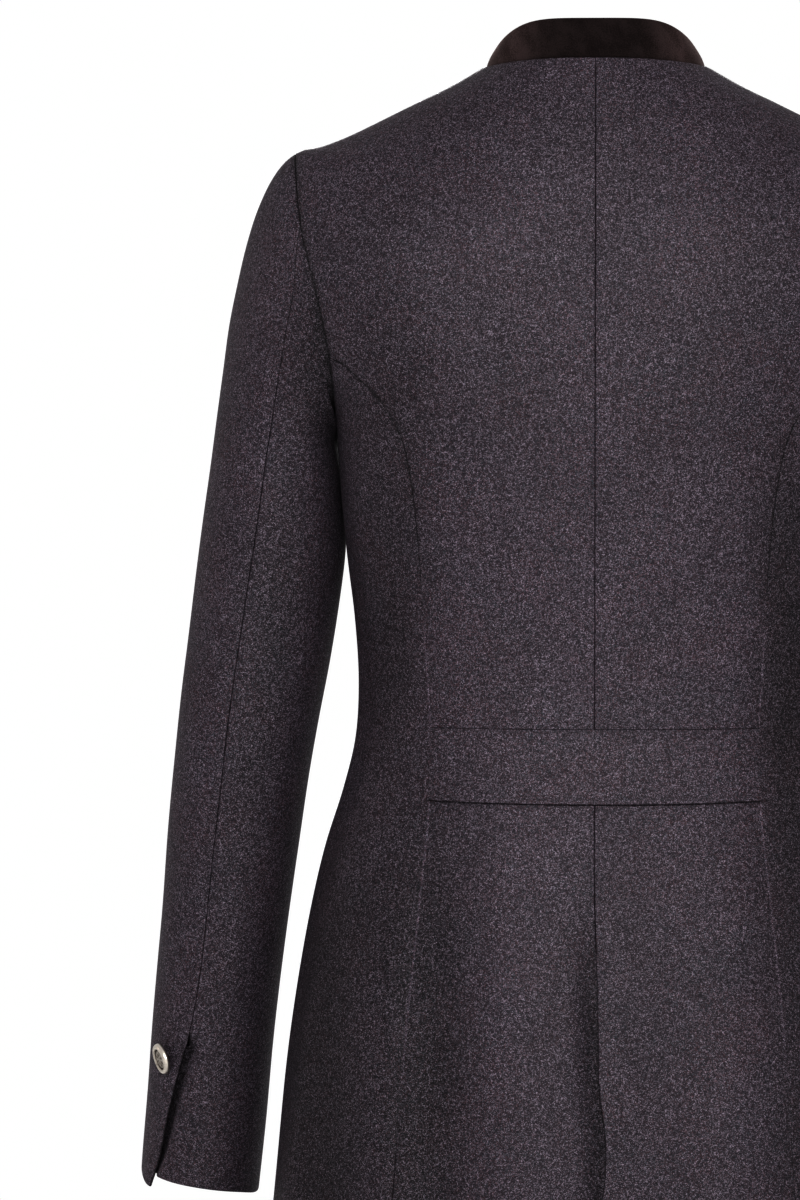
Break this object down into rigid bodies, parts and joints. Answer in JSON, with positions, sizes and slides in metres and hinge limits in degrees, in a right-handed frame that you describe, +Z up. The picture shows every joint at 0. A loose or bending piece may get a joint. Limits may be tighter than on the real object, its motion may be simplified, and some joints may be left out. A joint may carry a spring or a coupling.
{
  "type": "trachten frock coat",
  "caption": "Long fitted wool coat, hollow as worn, with a stand collar, princess seams, a sewn-on back belt, a centre-back vent and slit cuffs with metal buttons.",
  "frame": {"origin": "middle of the neck opening, level with the collar seam at the centre back", "axes": "+Z up along the standing wearer, -Y the wearer's front, +X the wearer's left"},
  "size_m": [0.571, 0.2769, 0.9245],
  "materials": {
    "cloth": "matt charcoal melange wool flannel with a faint brown and purple fleck",
    "collar_suede": "dark brown suede with a short soft nap",
    "button_metal": "antiqued silver-coloured cast metal, polished on its rim and dark in its recess"
  },
  "bodies": {
    "root": {"back_left": "cloth", "back_right": "cloth", "side_back_left": "cloth", "side_back_right": "cloth", "front_left": "cloth", "front_right": "cloth", "back_belt": "cloth", "collar": "collar_suede", "upper_sleeve_left": "cloth", "under_sleeve_left": "cloth", "cuff_button_left": "button_metal", "upper_sleeve_right": "cloth", "under_sleeve_right": "cloth", "cuff_button_right": "button_metal", "front_button_1": "button_metal", "front_button_2": "button_metal", "front_button_3": "button_metal", "front_button_4": "button_metal", "front_button_5": "button_metal"}
  },
  "joints": []
}
